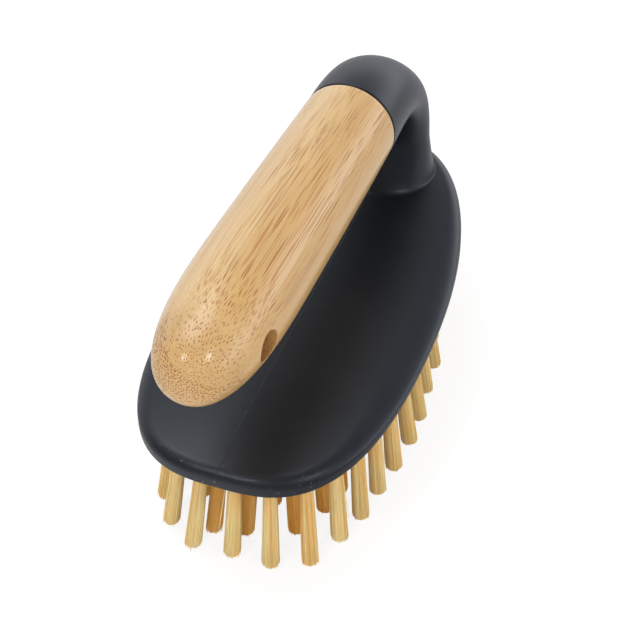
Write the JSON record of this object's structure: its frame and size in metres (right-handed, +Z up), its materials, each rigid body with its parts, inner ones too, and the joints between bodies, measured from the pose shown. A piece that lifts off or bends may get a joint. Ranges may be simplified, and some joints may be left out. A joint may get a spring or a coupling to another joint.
{
  "type": "scrub brush",
  "caption": "Hand scrub brush: dark moulded base with a swan neck, a turned bamboo grip with a cross hole for hanging, and splayed straw-coloured bristle tufts.",
  "frame": {"origin": "on the surface that the bristle tips stand on, under the middle of the brush's overall length and width", "axes": "+Z up, -Y towards the toe and the free end of the grip, +Y towards the neck, +X across the brush"},
  "size_m": [0.075, 0.1668, 0.1002],
  "materials": {
    "plastic": "satin charcoal moulding",
    "plate": "plain charcoal moulding",
    "bamboo": "turned bamboo, clear lacquer",
    "bristle": "straw-coloured filament"
  },
  "bodies": {
    "root": {"brush_body": "plastic", "tuft_plate": "plate", "bamboo_grip": "bamboo", "outer_bristles": "bristle", "second_bristles": "bristle", "third_bristles": "bristle", "centre_bristles": "bristle"}
  },
  "joints": []
}
